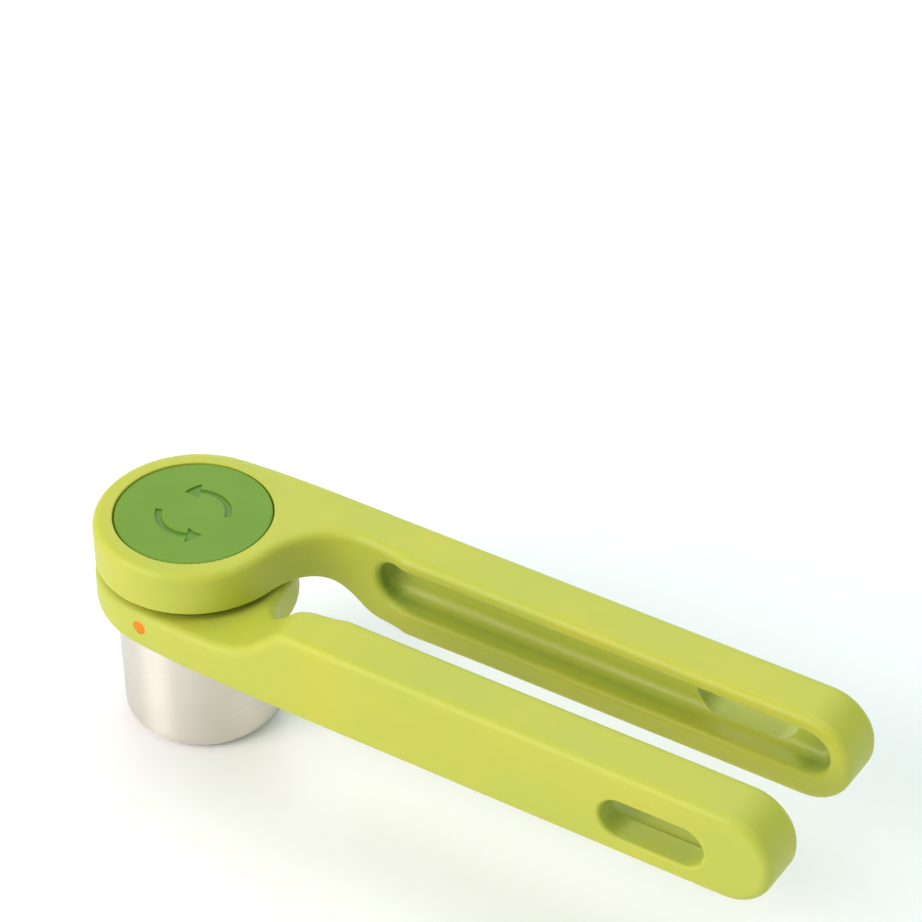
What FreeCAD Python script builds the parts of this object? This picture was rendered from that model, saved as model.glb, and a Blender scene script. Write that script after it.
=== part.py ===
import FreeCAD, Part
import math
import os

V = FreeCAD.Vector

# Twist-action garlic press, in millimetres.
# The origin is the centre of the basket's base, on the press axis. +Z is up along that
# axis and +X runs out towards the ends of the two handles. The press is drawn closed:
# the handles are side by side and the plunger is at the bottom of the basket.

# Driving dimensions
TOTAL_HEIGHT = 56.2          # basket base to the top of the upper head
HEAD_GAP = 1.9               # between the two heads when closed
UPPER_HEAD_R = 23.0
LOWER_HEAD_R = 23.2
ARM_OUTER_Y = 23.95          # press axis to a handle's outer face
ARM_WIDTH = 13.4
ARM_HEIGHT = 22.7
ARM_END_X = 162.3
ARM_END_R = 11.0             # rounding of a handle's end, seen from the side
EDGE_R = 2.3                 # rounding along the edges of both arms
LOWER_BASE_EDGE_R = 3.8      # softer rounding under the lower head
UPPER_MATING_EDGE_R = 0.6    # crisper rounding under the upper head
HEAD_THICK = ARM_HEIGHT / 2
DROP_START_X = 19.0          # where a handle starts to drop below its head
DROP_END_X = 42.5
DROP_HEAD_R = 19.4           # bend next to the head
DROP_HANDLE_R = 9.0          # bend next to the handle

CHANNEL_START_X = 41.4       # long channel in each handle's inner face
CHANNEL_END_X = 157.3
CHANNEL_HEIGHT = 11.7
CHANNEL_DEPTH = 7.6
CHANNEL_MARGIN = 4.1         # from the handle's flat outer edge to the channel
CHANNEL_FLOOR_R = 3.0
CHANNEL_RIM_R = 1.5
SLOT_RIM_R = 0.9
SLOT_X = 133.7               # hanging slot through each handle's outer wall
SLOT_LENGTH = 25.3
SLOT_HEIGHT = 10.2

CAP_R = 18.1
CAP_GAP = 0.3
CAP_THICK = 2.05
CAP_RECESS = 0.25            # top of the cap below the top of the head
CAP_EDGE_R = 0.4
CAP_SEAT_GAP = 0.05
POCKET_EDGE_R = 0.35         # rounding of the head round the cap
SKIRT_GAP = 0.15
SKIRT_WALL = 1.35
SKIRT_DEPTH = 2.4
MARK_DEPTH = 0.45
MARK_R = 8.0                 # mean radius of the two turning arrows on the cap
MARK_WIDTH = 1.5
MARK_START = 20.25           # where the first arrow starts, in degrees
MARK_SWEEP = 94.5            # length of an arrow's band, in degrees
MARK_TIP = 24.75             # length of an arrow's head, in degrees
MARK_HEAD = 1.7              # half width of an arrow's head, in band widths

STEEL = 1.0                  # sheet thickness of the basket and the press plate
BASKET_BASE_R = 18.53
BASKET_TOP_R = 19.05
BASKET_CORNER_R = 4.0
BASKET_FLANGE_R = 20.4
HOLE_R = 1.0
HOLE_RINGS = 5
HOLE_RING_STEP = 2.6
FIRST_RING_HOLES = 5
HOLES_PER_STEP = 5.65        # more holes in each ring than in the ring inside it
BASKET_LIP = 0.5             # overlap of the flange with the wall
BORE_GAP = 0.3               # between the basket's wall and the lower head

LEAD = 48.0                  # rise per full turn of the three-start thread
STARTS = 3
TRAVEL = 18.0                # rise over the working turn of 135 degrees
CORE_R = 16.6
RIDGE_R = 17.6
RIDGE_WIDTH = 5.0            # along the axis, at the crest
RIDGE_SLOPE = 0.6            # extra half width at the root
RIDGE_ROOT = 0.4             # how far a ridge reaches into the barrel's wall
THREAD_BOTTOM = 21.4
FLANK_CLEARANCE = 0.3
COLLAR_BORE_R = 16.85
COLLAR_ROOT_R = 17.9
COLLAR_R = 20.5
COLLAR_GAP = 0.1             # round the collar in the lower head
COLLAR_RECESS = 0.35         # top of the collar below the top of the lower head

PLUNGER_R = 16.7
PLUNGER_TOP = 12.6
PLATE_BOTTOM = 1.3
PLATE_RIM = 6.3
PLATE_CORNER_R = 2.2
FIT_GAP = 0.05               # between pieces that are pressed or seated together
PIVOT_R = 3.0
PIVOT_SHANK_R = 2.25
PIVOT_SHANK = 12.0
PIVOT_HEAD_R = 4.6
PIVOT_HEAD_H = 3.0
PIVOT_SOCKET_R = 2.0         # across half the flats
PIVOT_SOCKET_DEPTH = 1.8
SHOULDER_BOTTOM = 6.6        # underside of the plunger's swivel web
PIVOT_CLEARANCE = 0.08
WASHER_R = 8.0
WASHER_THICK = 0.7
WASHER_GAP = 0.05

BARREL_WALL = 2.2
BARREL_FLOOR = 3.0
BARREL_WEB = 4.0
POST_R = 6.0
SPIGOT_R = 7.0               # locates the barrel in the upper head's floor
SPIGOT_HEIGHT = 2.5
SPIGOT_GAP = 0.1
SEAT_GAP = 0.02              # between two faces that bear on each other
SCREW_CIRCLE_R = 11.5
SCREW_COUNT = 3
SCREW_START = 30.0           # angle of the first screw
SCREW_HEAD_R = 2.9
SCREW_HEAD_H = 1.9
SCREW_HEAD_EDGE_R = 0.7
SCREW_R = 1.25
SCREW_LENGTH = 11.9
SCREW_HOLE_R = 1.7
PILOT_DEPTH = 10.0
BOSS_R = 2.8
BOSS_DEPTH = 12.0
CROSS_LENGTH = 3.2           # cross recess in a screw's head
CROSS_WIDTH = 0.7
CROSS_DEPTH = 0.9
HOLLOW_R = 16.8
UPPER_FLOOR = 4.1            # thickness of the upper head under its hollow
LOWER_LEDGE = 2.2            # thickness of the ledge under the basket's flange

DOT_R = 1.65
DOT_DEPTH = 1.4
DOT_SINK = 0.5               # extra depth of the hole that takes a dot
DOT_BITE = 0.2               # extra length of a dot before it is trimmed
DOT_PROUD = 0.05
DOT_Z = 39.0
UPPER_DOT_RISE = 5.0         # above the upper head's underside
LOWER_DOT_ANGLE = -88.6
OPEN_ANGLE = 360.0 * TRAVEL / LEAD
UPPER_DOT_ANGLE = LOWER_DOT_ANGLE - OPEN_ANGLE   # comes round to the lower dot when open

# Levels worked out from them
UPPER_TOP = TOTAL_HEIGHT
UPPER_UNDERSIDE = UPPER_TOP - HEAD_THICK
LOWER_TOP = UPPER_UNDERSIDE - HEAD_GAP
LOWER_BOTTOM = LOWER_TOP - HEAD_THICK
ARM_INNER_Y = ARM_OUTER_Y - ARM_WIDTH
LEDGE_Z = LOWER_BOTTOM + LOWER_LEDGE
CAP_TOP = UPPER_TOP - CAP_RECESS
CAP_SEAT_Z = CAP_TOP - CAP_THICK - CAP_SEAT_GAP
FLOOR_TOP_Z = UPPER_UNDERSIDE + UPPER_FLOOR
UPPER_DOT_Z = UPPER_UNDERSIDE + UPPER_DOT_RISE
BARREL_TOP = UPPER_UNDERSIDE - SEAT_GAP
BARREL_BOTTOM = PLUNGER_TOP + WASHER_THICK + 2 * WASHER_GAP

UP = V(0, 0, 1)
PAST = 1.0                   # how far a cutter runs past the face it cuts through


def disc(radius, z_low, z_high):
    """A plain cylinder on the press axis."""
    return Part.makeCylinder(radius, z_high - z_low, V(0, 0, z_low))


def tube(outer, inner, z_low, z_high):
    """A plain ring on the press axis."""
    return disc(outer, z_low, z_high).cut(disc(inner, z_low, z_high))


def around(shape, count, start=0.0):
    """Copies of a shape spaced evenly about the press axis."""
    copies = []
    for index in range(count):
        copy = shape.copy()
        copy.rotate(V(0, 0, 0), UP, start + 360.0 * index / count)
        copies.append(copy)
    return copies


def spin(points):
    """A solid of revolution about the press axis from (radius, z) corners."""
    corners = [V(radius, 0, z) for radius, z in points]
    face = Part.Face(Part.makePolygon(corners + corners[:1]))
    return face.revolve(V(0, 0, 0), UP, 360)


def polar(radius, degrees):
    """A point on a circle round the press axis, at z = 0."""
    angle = math.radians(degrees)
    return V(radius * math.cos(angle), radius * math.sin(angle), 0)


def arm_plan(head_r):
    """Plan outline of an arm: round head, necked joint, straight handle on the +Y side."""
    far_x = ARM_END_X + 10
    leave = 96.0
    join = -8.0
    outer_start = V(48, ARM_OUTER_Y, 0)
    inner_end = V(75, ARM_INNER_Y, 0)
    head = Part.Arc(polar(head_r, leave), polar(head_r, 225), polar(head_r, join))
    outer = Part.BSplineCurve()
    outer.interpolate(
        [outer_start, polar(head_r, leave)],
        Tangents=[V(-46, 0, 0), polar(46, leave + 90)],
        TangentFlags=[True, True],
    )
    neck_points = [
        polar(head_r, join),
        V(head_r + 3.0, 5.4, 0),
        V(head_r + 6.6, 9.3, 0),
        V(36.6, 12.0, 0),
        V(46.0, 11.4, 0),
        inner_end,
    ]
    neck = Part.BSplineCurve()
    neck.interpolate(neck_points, InitialTangent=polar(1, join + 90), FinalTangent=V(1, 0, 0))
    straight_in = Part.LineSegment(inner_end, V(far_x, ARM_INNER_Y, 0))
    end = Part.LineSegment(V(far_x, ARM_INNER_Y, 0), V(far_x, ARM_OUTER_Y, 0))
    straight_out = Part.LineSegment(V(far_x, ARM_OUTER_Y, 0), outer_start)
    curves = [outer, head, neck, straight_in, end, straight_out]
    return Part.Face(Part.Wire([curve.toShape() for curve in curves]))


def arc_edge(centre, radius, start, stop):
    """Arc in the XZ plane between two angles in degrees, measured from +X towards +Z."""
    def at(degrees):
        angle = math.radians(degrees)
        return centre + V(radius * math.cos(angle), 0, radius * math.sin(angle))
    return Part.Arc(at(start), at((start + stop) / 2), at(stop)).toShape()


def drop_edges():
    """The S-shaped underside between the head and the deeper handle, from -X to +X."""
    run = DROP_END_X - DROP_START_X
    fall = ARM_HEIGHT - HEAD_THICK
    # The slope between the two arcs is the common tangent of their circles.
    radii = DROP_HEAD_R + DROP_HANDLE_R
    rise = radii - fall
    slope = math.degrees(math.atan2(run, rise) - math.acos(radii / math.hypot(run, rise)))
    first = V(DROP_START_X, 0, -HEAD_THICK - DROP_HEAD_R)
    second = V(DROP_END_X, 0, -ARM_HEIGHT + DROP_HANDLE_R)
    upper = arc_edge(first, DROP_HEAD_R, 90, 90 - slope)
    lower = arc_edge(second, DROP_HANDLE_R, 270 - slope, 270)
    slant = Part.LineSegment(upper.Vertexes[-1].Point, lower.Vertexes[0].Point).toShape()
    return [upper, slant, lower]


def arm_profile():
    """Side outline of an arm, top at z = 0, as a face in the XZ plane."""
    back_x = -40.0
    top = V(ARM_END_X - ARM_END_R, 0, -ARM_END_R)
    low = V(ARM_END_X - ARM_END_R, 0, -ARM_HEIGHT + ARM_END_R)
    edges = [Part.LineSegment(V(back_x, 0, 0), V(top.x, 0, 0)).toShape()]
    edges.append(arc_edge(top, ARM_END_R, 90, 0))
    edges.append(Part.LineSegment(V(ARM_END_X, 0, top.z), V(ARM_END_X, 0, low.z)).toShape())
    edges.append(arc_edge(low, ARM_END_R, 0, -90))
    edges.append(Part.LineSegment(V(low.x, 0, -ARM_HEIGHT), V(DROP_END_X, 0, -ARM_HEIGHT)).toShape())
    edges += [edge for edge in reversed(drop_edges())]
    edges.append(Part.LineSegment(V(DROP_START_X, 0, -HEAD_THICK), V(back_x, 0, -HEAD_THICK)).toShape())
    edges.append(Part.LineSegment(V(back_x, 0, -HEAD_THICK), V(back_x, 0, 0)).toShape())
    return Part.Face(Part.Wire(Part.sortEdges(edges)[0]))


def oblong(x_low, x_high, z_low, z_high, y_low, y_high):
    """A full-round slot shape that runs along X and cuts along Y."""
    radius = (z_high - z_low) / 2
    middle = (z_high + z_low) / 2
    depth = y_high - y_low
    corner = V(x_low + radius, y_low, z_low)
    block = Part.makeBox(x_high - x_low - 2 * radius, depth, z_high - z_low, corner)
    for x in (x_low + radius, x_high - radius):
        block = block.fuse(Part.makeCylinder(radius, depth, V(x, y_low, middle), V(0, 1, 0)))
    return block.removeSplitter()


def edges_at_y(shape, y):
    """Edges that lie flat at one Y."""
    chosen = []
    for edge in shape.Edges:
        bounds = edge.BoundBox
        if abs(bounds.YMin - y) < 0.01 and abs(bounds.YMax - y) < 0.01:
            chosen.append(edge)
    return chosen


def edges_at_z(shape, z, radius=None):
    """Edges that lie flat at one Z, and on one radius when it is given."""
    chosen = []
    for edge in shape.Edges:
        bounds = edge.BoundBox
        flat = abs(bounds.ZMin - z) < 0.01 and abs(bounds.ZMax - z) < 0.01
        point = edge.Vertexes[0].Point
        if flat and (radius is None or abs(math.hypot(point.x, point.y) - radius) < 0.01):
            chosen.append(edge)
    return chosen


def sharp_edges(shape):
    """Edges whose two faces meet at a corner, leaving out smooth joins."""
    chosen = []
    for edge in shape.Edges:
        faces = shape.ancestorsOfType(edge, Part.Face)
        point = edge.valueAt((edge.FirstParameter + edge.LastParameter) / 2)
        normals = [face.normalAt(*face.Surface.parameter(point)) for face in faces]
        if len(normals) == 2 and math.degrees(normals[0].getAngle(normals[1])) > 20:
            chosen.append(edge)
    return chosen


def loop_radius(point, head_r, outer_edge_r, mating_edge_r):
    """Rounding of an arm's edge loop at a point, easing to EDGE_R away from the head."""
    if point.z > -1:
        on_head = math.hypot(point.x, point.y) < head_r + 0.1
        return outer_edge_r if on_head else EDGE_R
    away = (point.x - DROP_START_X) / (DROP_END_X - DROP_START_X)
    away = min(max(away, 0.0), 1.0)
    return mating_edge_r + (EDGE_R - mating_edge_r) * away


def round_loop(body, head_r, outer_edge_r, mating_edge_r):
    """Rounds the edge loop of an arm with a radius that varies along it."""
    document = FreeCAD.newDocument("arm")
    base = document.addObject("Part::Feature", "base")
    base.Shape = body
    rounding = document.addObject("Part::Fillet", "rounding")
    rounding.Base = base
    wanted = sharp_edges(body)
    choices = []
    for number, edge in enumerate(body.Edges, 1):
        if any(edge.isSame(one) for one in wanted):
            ends = [edge.valueAt(edge.FirstParameter), edge.valueAt(edge.LastParameter)]
            radii = [loop_radius(end, head_r, outer_edge_r, mating_edge_r) for end in ends]
            choices.append((number, radii[0], radii[1]))
    rounding.Edges = choices
    document.recompute()
    rounded = rounding.Shape.copy()
    FreeCAD.closeDocument(document.Name)
    return rounded


def edges_within(shape, box):
    """Sharp edges that lie wholly inside a box of x, y and z limits."""
    (x_low, x_high), (y_low, y_high), (z_low, z_high) = box
    chosen = []
    for edge in sharp_edges(shape):
        bounds = edge.BoundBox
        inside = x_low < bounds.XMin and bounds.XMax < x_high
        inside = inside and y_low < bounds.YMin and bounds.YMax < y_high
        inside = inside and z_low < bounds.ZMin and bounds.ZMax < z_high
        if inside:
            chosen.append(edge)
    return chosen


def arm_blank(head_r, outer_edge_r, mating_edge_r):
    """One arm in its own frame, top at z = 0, with its channel and hanging slot."""
    tall = arm_plan(head_r).extrude(V(0, 0, 2 * ARM_HEIGHT))
    tall.translate(V(0, 0, -1.5 * ARM_HEIGHT))
    wide = arm_profile().extrude(V(0, 4 * head_r, 0))
    wide.translate(V(0, -2 * head_r, 0))
    body = round_loop(tall.common(wide), head_r, outer_edge_r, mating_edge_r)
    floor_y = ARM_INNER_Y + CHANNEL_DEPTH
    channel_low = -CHANNEL_MARGIN - CHANNEL_HEIGHT
    channel = oblong(
        CHANNEL_START_X, CHANNEL_END_X, channel_low, -CHANNEL_MARGIN, ARM_INNER_Y - 3, floor_y
    )
    channel = channel.makeFillet(CHANNEL_FLOOR_R, edges_at_y(channel, floor_y))
    body = body.cut(channel)
    mouth = ((CHANNEL_START_X - 1, CHANNEL_END_X + 1), (ARM_INNER_Y - 1, floor_y - 3))
    mouth += ((channel_low - 1, -CHANNEL_MARGIN + 1),)
    body = body.makeFillet(CHANNEL_RIM_R, edges_within(body, mouth))
    middle = channel_low + CHANNEL_HEIGHT / 2
    slot_low = middle - SLOT_HEIGHT / 2
    slot_start = SLOT_X - SLOT_LENGTH / 2
    slot = oblong(
        slot_start, slot_start + SLOT_LENGTH, slot_low, slot_low + SLOT_HEIGHT,
        floor_y - 1, ARM_OUTER_Y + 5,
    )
    body = body.cut(slot)
    window = ((slot_start - 1, slot_start + SLOT_LENGTH + 1), (ARM_OUTER_Y - 1, ARM_OUTER_Y + 1))
    window += ((slot_low - 1, slot_low + SLOT_HEIGHT + 1),)
    return body.makeFillet(SLOT_RIM_R, edges_within(body, window))


def helical_ridge(inner_r, outer_r, half_width, half_root, z_low, height, overlap):
    """One right-hand thread ridge, as a trapezium swept along a helix."""
    mean_r = (inner_r + outer_r) / 2
    turn = Part.makeHelix(LEAD, height, mean_r)
    corners = [
        V(inner_r - overlap, 0, -half_root),
        V(outer_r, 0, -half_width),
        V(outer_r, 0, half_width),
        V(inner_r - overlap, 0, half_root),
    ]
    profile = Part.makePolygon(corners + corners[:1])
    ridge = Part.Wire(turn).makePipeShell([profile], True, True)
    ridge.translate(V(0, 0, z_low))
    return ridge


def thread_phase(z_low):
    """Angle that keeps every thread on one common helix, whatever level it starts at."""
    return 360.0 * z_low / LEAD


def screw_cylinder(radius, z_low, z_high):
    """A cylinder on the screw circle, before it is copied round."""
    shape = Part.makeCylinder(radius, z_high - z_low, polar(SCREW_CIRCLE_R, 0))
    shape.translate(V(0, 0, z_low))
    return shape


def upper_arm():
    """Upper moulding: pocket for the cap, hollow for the screws, seat for the barrel."""
    body = arm_blank(UPPER_HEAD_R, EDGE_R, UPPER_MATING_EDGE_R)
    body.translate(V(0, 0, UPPER_TOP))
    pocket_r = CAP_R + CAP_GAP
    body = body.cut(disc(pocket_r, CAP_SEAT_Z, UPPER_TOP + PAST))
    body = body.makeFillet(POCKET_EDGE_R, edges_at_z(body, UPPER_TOP, pocket_r))
    body = body.cut(disc(HOLLOW_R, FLOOR_TOP_Z, CAP_SEAT_Z + PAST))
    body = body.cut(disc(SPIGOT_R + SPIGOT_GAP, UPPER_UNDERSIDE - PAST, FLOOR_TOP_Z + PAST))
    hole = screw_cylinder(SCREW_HOLE_R, UPPER_UNDERSIDE - PAST, FLOOR_TOP_Z + PAST)
    for one in around(hole, SCREW_COUNT, SCREW_START):
        body = body.cut(one)
    return body.cut(dot_pocket(UPPER_HEAD_R, UPPER_DOT_Z, UPPER_DOT_ANGLE))


def lower_arm():
    """Lower moulding: the same arm turned over, with a stepped bore for the basket."""
    body = arm_blank(LOWER_HEAD_R, LOWER_BASE_EDGE_R, EDGE_R)
    body.rotate(V(0, 0, 0), V(1, 0, 0), 180)
    body.translate(V(0, 0, LOWER_BOTTOM))
    body = body.cut(disc(BASKET_TOP_R + BORE_GAP, LOWER_BOTTOM - PAST, LOWER_TOP + PAST))
    body = body.cut(disc(COLLAR_R + COLLAR_GAP, LEDGE_Z, LOWER_TOP + PAST))
    return body.cut(dot_pocket(LOWER_HEAD_R, DOT_Z, LOWER_DOT_ANGLE))


def dot(head_r, z, degrees, radius, extra):
    """A short round insert let into the side of a head."""
    shape = Part.makeCylinder(radius, DOT_DEPTH + extra, V(head_r - DOT_DEPTH, 0, z), V(1, 0, 0))
    shape.rotate(V(0, 0, 0), UP, degrees)
    return shape


def dot_pocket(head_r, z, degrees):
    """The blind hole that takes an alignment dot."""
    return dot(head_r, z, degrees, DOT_R + FIT_GAP, DOT_SINK)


def alignment_dot(head_r, z, degrees):
    """One orange insert, trimmed to the curve of the head it sits in."""
    trim = disc(head_r + DOT_PROUD, z - 2 * DOT_R, z + 2 * DOT_R)
    return dot(head_r, z, degrees, DOT_R, DOT_BITE).common(trim)


def turning_arrow():
    """One curved arrow of the pair sunk into the cap."""
    level = CAP_TOP - MARK_DEPTH
    half_band = MARK_WIDTH / 2
    half_head = MARK_HEAD * MARK_WIDTH
    height = MARK_DEPTH + PAST
    band = tube(MARK_R + half_band, MARK_R - half_band, level, level + height)
    lift = V(0, 0, level)
    fan = [lift] + [polar(3 * MARK_R, MARK_SWEEP * step / 4) + lift for step in range(5)]
    wedge = Part.Face(Part.makePolygon(fan + fan[:1])).extrude(V(0, 0, height))
    head = [
        polar(MARK_R - half_head, MARK_SWEEP) + lift,
        polar(MARK_R + half_head, MARK_SWEEP) + lift,
        polar(MARK_R, MARK_SWEEP + MARK_TIP) + lift,
    ]
    tip = Part.Face(Part.makePolygon(head + head[:1])).extrude(V(0, 0, height))
    return band.common(wedge).fuse(tip)


def cap_disc():
    """Snap-in cover: a disc just below the top of the head, over a short skirt."""
    low = CAP_TOP - CAP_THICK
    body = disc(CAP_R, low, CAP_TOP)
    body = body.makeFillet(CAP_EDGE_R, edges_at_z(body, CAP_TOP))
    skirt_r = HOLLOW_R - SKIRT_GAP
    body = body.fuse(tube(skirt_r, skirt_r - SKIRT_WALL, low - SKIRT_DEPTH, low + CAP_THICK / 2))
    for arrow in around(turning_arrow(), 2, MARK_START):
        body = body.cut(arrow)
    return body


def barrel_ridges():
    """The three thread ridges of the barrel, trimmed square at both ends."""
    half = RIDGE_WIDTH / 2
    low = THREAD_BOTTOM - half
    ridge = helical_ridge(
        CORE_R, RIDGE_R, half, half + RIDGE_SLOPE, low, BARREL_TOP + half - low, RIDGE_ROOT
    )
    ridge = ridge.common(disc(RIDGE_R + PAST, THREAD_BOTTOM, BARREL_TOP))
    return around(ridge, STARTS, thread_phase(low))


def screw_barrel():
    """Threaded barrel: closed at the top, hollow, with a post for the pivot screw."""
    web_bottom = BARREL_TOP - BARREL_WEB
    floor_top = BARREL_BOTTOM + BARREL_FLOOR
    body = tube(CORE_R, CORE_R - BARREL_WALL, floor_top, BARREL_TOP)
    body = body.fuse(disc(CORE_R, web_bottom, BARREL_TOP))
    body = body.fuse(disc(CORE_R, BARREL_BOTTOM, floor_top))
    body = body.fuse(disc(POST_R, BARREL_BOTTOM, web_bottom + PAST))
    body = body.fuse(disc(SPIGOT_R, BARREL_TOP - PAST, BARREL_TOP + SPIGOT_HEIGHT))
    for ridge in barrel_ridges():
        body = body.fuse(ridge)
    boss = screw_cylinder(BOSS_R, BARREL_TOP - BOSS_DEPTH, BARREL_TOP - PAST)
    for one in around(boss, SCREW_COUNT, SCREW_START):
        body = body.fuse(one)
    pilot = screw_cylinder(SCREW_R, BARREL_TOP - PILOT_DEPTH, BARREL_TOP + PAST)
    for one in around(pilot, SCREW_COUNT, SCREW_START):
        body = body.cut(one)
    return body.cut(disc(PIVOT_SHANK_R, BARREL_BOTTOM - PAST, BARREL_BOTTOM + PIVOT_SHANK + PAST))


def thread_collar():
    """Ring with the three internal thread grooves, pressed over the basket's flange."""
    low = LEDGE_Z + STEEL + SEAT_GAP
    high = LOWER_TOP - COLLAR_RECESS
    body = tube(COLLAR_R, COLLAR_BORE_R, low, high)
    half = RIDGE_WIDTH / 2 + FLANK_CLEARANCE
    start = low - RIDGE_WIDTH - PAST
    run = high + RIDGE_WIDTH + PAST - start
    inner_r = COLLAR_BORE_R - BASKET_LIP
    slope = RIDGE_SLOPE * (COLLAR_ROOT_R - inner_r) / (COLLAR_ROOT_R - COLLAR_BORE_R)
    cutter = helical_ridge(inner_r, COLLAR_ROOT_R, half, half + slope, start, run, 0)
    for one in around(cutter, STARTS, thread_phase(start)):
        body = body.cut(one)
    return body


def basket_holes():
    """Every hole of the basket's base, in rings that fill out towards its corner."""
    holes = []
    for ring in range(HOLE_RINGS):
        count = FIRST_RING_HOLES + round(HOLES_PER_STEP * ring)
        hole = Part.makeCylinder(HOLE_R, STEEL + 2 * PAST, polar(HOLE_RING_STEP * (ring + 1), 0))
        hole.translate(V(0, 0, -PAST))
        holes += around(hole, count)
    return Part.makeCompound(holes)


def basket():
    """Drawn steel basket: perforated base, tapered wall, flange held under the collar."""
    flange_top = LEDGE_Z + STEEL
    outer = spin([(0, 0), (BASKET_BASE_R, 0), (BASKET_TOP_R, LEDGE_Z), (0, LEDGE_Z)])
    outer = outer.makeFillet(BASKET_CORNER_R, edges_at_z(outer, 0, BASKET_BASE_R))
    top_r = BASKET_TOP_R - STEEL
    base_r = BASKET_BASE_R - STEEL
    high = flange_top + PAST
    inner = spin([(0, STEEL), (base_r, STEEL), (top_r, LEDGE_Z), (top_r, high), (0, high)])
    inner = inner.makeFillet(BASKET_CORNER_R - STEEL, edges_at_z(inner, STEEL, base_r))
    flange = tube(BASKET_FLANGE_R, top_r - BASKET_LIP, LEDGE_Z, flange_top)
    return outer.fuse(flange).cut(inner).cut(basket_holes())


def press_plate():
    """Drawn steel shoe over the plunger's working end."""
    outer = disc(PLUNGER_R, PLATE_BOTTOM, PLATE_RIM)
    outer = outer.makeFillet(PLATE_CORNER_R, edges_at_z(outer, PLATE_BOTTOM))
    inner = disc(PLUNGER_R - STEEL, PLATE_BOTTOM + STEEL, PLATE_RIM + PAST)
    inner = inner.makeFillet(PLATE_CORNER_R - STEEL, edges_at_z(inner, PLATE_BOTTOM + STEEL))
    return outer.cut(inner)


def plunger_head():
    """Moulded piston that carries the plate and swivels on the pivot screw."""
    low = PLATE_BOTTOM + STEEL + FIT_GAP
    body = disc(PLUNGER_R - STEEL - FIT_GAP, low, PLATE_RIM + PAST)
    body = body.makeFillet(PLATE_CORNER_R - STEEL + FIT_GAP, edges_at_z(body, low))
    body = body.fuse(disc(PLUNGER_R, PLATE_RIM + FIT_GAP, PLUNGER_TOP))
    body = body.cut(disc(PIVOT_HEAD_R + BORE_GAP, low - PAST, SHOULDER_BOTTOM))
    return body.cut(disc(PIVOT_R + PIVOT_CLEARANCE, low, PLUNGER_TOP + PAST))


def hexagon(flat_r, z_low, z_high):
    """A hexagonal socket by its inscribed radius."""
    corner_r = flat_r / math.cos(math.pi / 6)
    corners = [polar(corner_r, 60 * step) + V(0, 0, z_low) for step in range(6)]
    return Part.Face(Part.makePolygon(corners + corners[:1])).extrude(V(0, 0, z_high - z_low))


def pivot_screw():
    """Shoulder screw that the plunger swivels on, held in the barrel's post."""
    head_top = SHOULDER_BOTTOM - 2 * FIT_GAP
    head_bottom = head_top - PIVOT_HEAD_H
    head = disc(PIVOT_HEAD_R, head_bottom, head_top)
    head = head.cut(hexagon(PIVOT_SOCKET_R, head_bottom - PAST, head_bottom + PIVOT_SOCKET_DEPTH))
    shoulder = disc(PIVOT_R, head_top - PIVOT_HEAD_H / 4, BARREL_BOTTOM)
    shank = disc(PIVOT_SHANK_R, BARREL_BOTTOM - PAST, BARREL_BOTTOM + PIVOT_SHANK)
    return head.fuse(shoulder).fuse(shank)


def thrust_washer():
    """Washer that takes the pressing load between the plunger and the barrel."""
    low = PLUNGER_TOP + WASHER_GAP
    return tube(WASHER_R, PIVOT_R + PIVOT_CLEARANCE, low, low + WASHER_THICK)


def barrel_screws():
    """The screws that hold the barrel to the upper arm, as separate solids."""
    seat = FLOOR_TOP_Z + SEAT_GAP
    crown = seat + SCREW_HEAD_H
    head = screw_cylinder(SCREW_HEAD_R, seat, crown)
    head = head.makeFillet(SCREW_HEAD_EDGE_R, edges_at_z(head, crown))
    screw = head.fuse(screw_cylinder(SCREW_R, seat - SCREW_LENGTH, seat + PAST))
    corner = V(-CROSS_LENGTH / 2, -CROSS_WIDTH / 2, crown - CROSS_DEPTH)
    for degrees in (0, 90):
        bar = Part.makeBox(CROSS_LENGTH, CROSS_WIDTH, CROSS_DEPTH + PAST, corner)
        bar.rotate(V(0, 0, 0), UP, degrees)
        bar.translate(polar(SCREW_CIRCLE_R, 0))
        screw = screw.cut(bar)
    return Part.makeCompound(around(screw, SCREW_COUNT, SCREW_START))


def all_parts():
    """Every node and its shape."""
    return {
        "lower_arm": lower_arm(),
        "basket": basket(),
        "thread_collar": thread_collar(),
        "lower_alignment_dot": alignment_dot(LOWER_HEAD_R, DOT_Z, LOWER_DOT_ANGLE),
        "plunger_head": plunger_head(),
        "press_plate": press_plate(),
        "thrust_washer": thrust_washer(),
        "upper_arm": upper_arm(),
        "cap_disc": cap_disc(),
        "screw_barrel": screw_barrel(),
        "barrel_screws": barrel_screws(),
        "pivot_screw": pivot_screw(),
        "upper_alignment_dot": alignment_dot(UPPER_HEAD_R, UPPER_DOT_Z, UPPER_DOT_ANGLE),
    }


if __name__ == "__main__":
    os.makedirs("parts", exist_ok=True)
    for name, shape in all_parts().items():
        shape.exportStep(f"parts/{name}.step")
        print(name, shape.isValid(), len(shape.Solids), round(shape.Volume, 1))
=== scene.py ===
import math

import bmesh
import bpy
from mathutils import Matrix, Vector


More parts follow.
